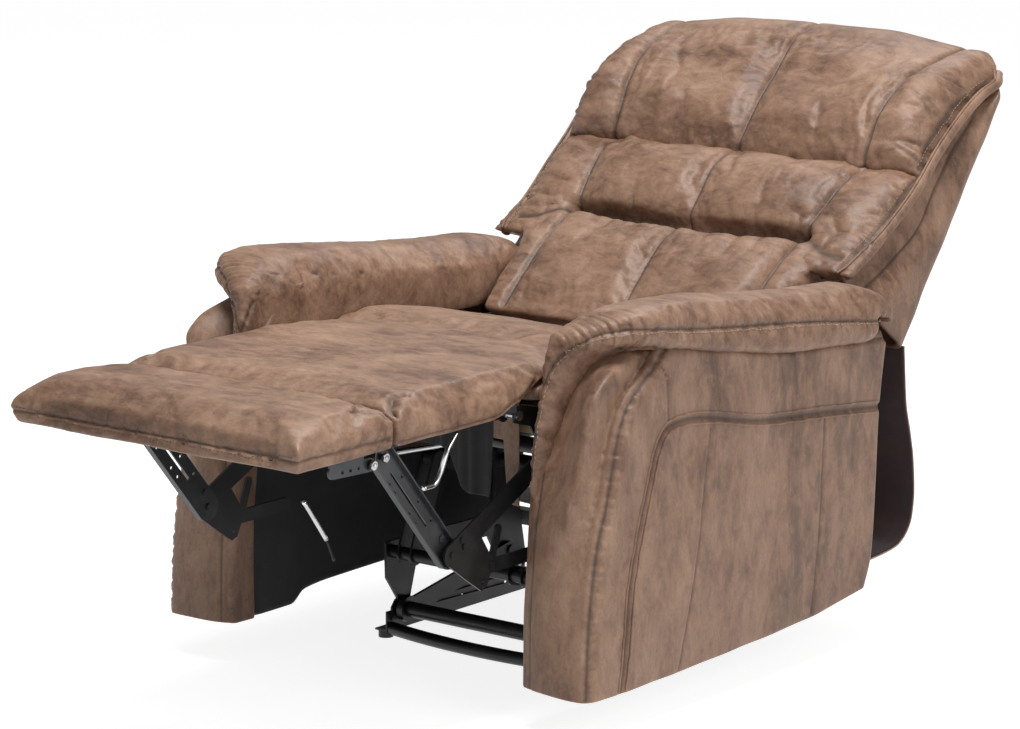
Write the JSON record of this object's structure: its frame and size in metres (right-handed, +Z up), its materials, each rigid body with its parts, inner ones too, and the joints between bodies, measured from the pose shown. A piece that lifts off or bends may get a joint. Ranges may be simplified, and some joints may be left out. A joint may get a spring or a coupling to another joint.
{
  "type": "recliner armchair",
  "caption": "Power lift recliner, fully reclined: padded arms, winged back with stacked cushions, long footrest with folding flap, on a steel lifting base.",
  "frame": {"origin": "on the floor, under the middle of the reclined chair's length and width", "axes": "+X to the seated person's left, -Y forward to the footrest, +Z up"},
  "size_m": [0.906, 1.7512, 0.9473],
  "materials": {
    "upholstery": "brown suede-look cover, rubbed lighter along folds and seams",
    "dust_cover": "black woven polypropylene",
    "frame_black": "black powder coat, satin",
    "link_grey": "dark grey enamel",
    "zinc": "zinc-plated steel",
    "spring_steel": "oiled spring wire",
    "motor_housing": "black moulded housing",
    "plywood": "plywood, raw",
    "foot_plastic": "black moulded glide"
  },
  "bodies": {
    "base": {"base_rail_left": "frame_black", "base_rail_right": "frame_black", "base_front_tube": "frame_black", "base_rear_tube": "frame_black", "base_feet": "foot_plastic", "base_gussets": "frame_black", "lift_cross_tube": "frame_black", "guide_pins": "zinc"},
    "lift_arms": {"lift_arms": "frame_black"},
    "guide_links": {"guide_links": "frame_black"},
    "lift_motor": {"lift_motor": "motor_housing"},
    "lift_rod": {"lift_rod": "zinc"},
    "chassis": {"side_plates": "frame_black", "chassis_tubes": "frame_black", "lift_legs": "frame_black", "motor_brackets": "frame_black", "pivot_pins": "zinc", "seat_rails": "plywood", "seat_springs": "spring_steel", "seat_front_pad": "upholstery", "seat_cushion": "upholstery", "arm_brackets": "frame_black", "rear_bar": "frame_black", "rear_flap": "upholstery", "arm_frame_left": "plywood", "arm_frame_right": "plywood", "arm_side_left": "upholstery", "arm_side_right": "upholstery", "arm_front_left": "upholstery", "arm_front_right": "upholstery", "arm_pad_left": "upholstery", "arm_pad_right": "upholstery", "arm_lining_left": "dust_cover", "arm_lining_right": "dust_cover"},
    "backrest": {"back_brackets": "frame_black", "back_tie_tube": "frame_black", "back_posts": "plywood", "back_cross_rails": "plywood", "back_springs": "spring_steel", "back_shell": "upholstery", "lumbar_cushion": "upholstery", "middle_roll": "upholstery", "head_pillow": "upholstery", "wing_left": "upholstery", "wing_right": "upholstery", "back_side_left": "upholstery", "back_side_right": "upholstery"},
    "recline_motor": {"recline_motor": "motor_housing"},
    "recline_rod": {"recline_rod": "zinc"},
    "calf_rest": {"calf_board": "plywood", "calf_pad": "upholstery", "calf_brackets": "frame_black"},
    "foot_flap": {"flap_board": "plywood", "flap_pad": "upholstery", "flap_brackets": "frame_black"},
    "channel_links": {"channel_links": "link_grey"},
    "lower_links": {"lower_links": "frame_black", "drive_tube": "frame_black"},
    "foot_motor": {"foot_motor": "motor_housing"},
    "foot_rod": {"foot_rod": "zinc"}
  },
  "joints": [
    {"name": "lift", "type": "hinge", "parent": "base", "child": "chassis", "pos_m": [0, -0.408, -0.26], "axis": [1, 0, 0], "range_deg": [0, 25]},
    {"name": "lift_arm", "type": "hinge", "parent": "base", "child": "lift_arms", "pos_m": [0, -0.08, 0.048], "axis": [1, 0, 0], "range_deg": [0, 66.55]},
    {"name": "guide_link", "type": "hinge", "parent": "base", "child": "guide_links", "pos_m": [0, -0.048, 0.036], "axis": [1, 0, 0], "range_deg": [0, 67.79]},
    {"name": "lift_motor_swing", "type": "hinge", "parent": "base", "child": "lift_motor", "pos_m": [0, 0.312, 0.048], "axis": [1, 0, 0], "range_deg": [-5.54, 0]},
    {"name": "lift_rod_slide", "type": "slide", "parent": "lift_motor", "child": "lift_rod", "axis": [0, -0.9724, 0.2334], "range_m": [0, 0.22337]},
    {"name": "recline", "type": "hinge", "parent": "chassis", "child": "backrest", "pos_m": [0, 0.252, 0.44], "axis": [1, 0, 0], "range_deg": [0, 25]},
    {"name": "recline_motor_swing", "type": "hinge", "parent": "chassis", "child": "recline_motor", "pos_m": [0, -0.048, 0.3], "axis": [1, 0, 0], "range_deg": [0, 4.54]},
    {"name": "recline_rod_slide", "type": "slide", "parent": "recline_motor", "child": "recline_rod", "axis": [0, 0.9965, 0.083], "range_m": [0, 0.04501]},
    {"name": "footrest", "type": "hinge", "parent": "chassis", "child": "calf_rest", "pos_m": [0, -0.343, 0.48], "axis": [1, 0, 0], "range_deg": [0, 88]},
    {"name": "flap", "type": "hinge", "parent": "calf_rest", "child": "foot_flap", "pos_m": [0, -0.683, 0.463], "axis": [1, 0, 0], "range_deg": [0, 92.09]},
    {"name": "channel_link", "type": "hinge", "parent": "calf_rest", "child": "channel_links", "pos_m": [0, -0.643, 0.466], "axis": [1, 0, 0], "range_deg": [-39.49, 0]},
    {"name": "lower_link", "type": "hinge", "parent": "chassis", "child": "lower_links", "pos_m": [0, -0.248, 0.41], "axis": [1, 0, 0], "range_deg": [0, 94.57]},
    {"name": "foot_motor_swing", "type": "hinge", "parent": "chassis", "child": "foot_motor", "pos_m": [0, 0.262, 0.33], "axis": [1, 0, 0], "range_deg": [0, 1.15]},
    {"name": "foot_rod_slide", "type": "slide", "parent": "foot_motor", "child": "foot_rod", "axis": [0, -0.9978, 0.0663], "range_m": [-0.10958, 0]}
  ],
  "couplings": [
    {"joint": "lift_arm", "follows": "lift", "ratio": 2.6594},
    {"joint": "guide_link", "follows": "lift", "ratio": 2.709},
    {"joint": "lift_motor_swing", "follows": "lift", "ratio": -0.2214},
    {"joint": "lift_rod_slide", "follows": "lift", "m_per_rad": 0.51143},
    {"joint": "recline_motor_swing", "follows": "recline", "ratio": 0.18156},
    {"joint": "recline_rod_slide", "follows": "recline", "m_per_rad": 0.10304},
    {"joint": "flap", "follows": "footrest", "ratio": 1.0455},
    {"joint": "channel_link", "follows": "footrest", "ratio": -0.44835},
    {"joint": "lower_link", "follows": "footrest", "ratio": 1.0736},
    {"joint": "foot_motor_swing", "follows": "footrest", "ratio": 0.013046},
    {"joint": "foot_rod_slide", "follows": "footrest", "m_per_rad": -0.071276}
  ]
}
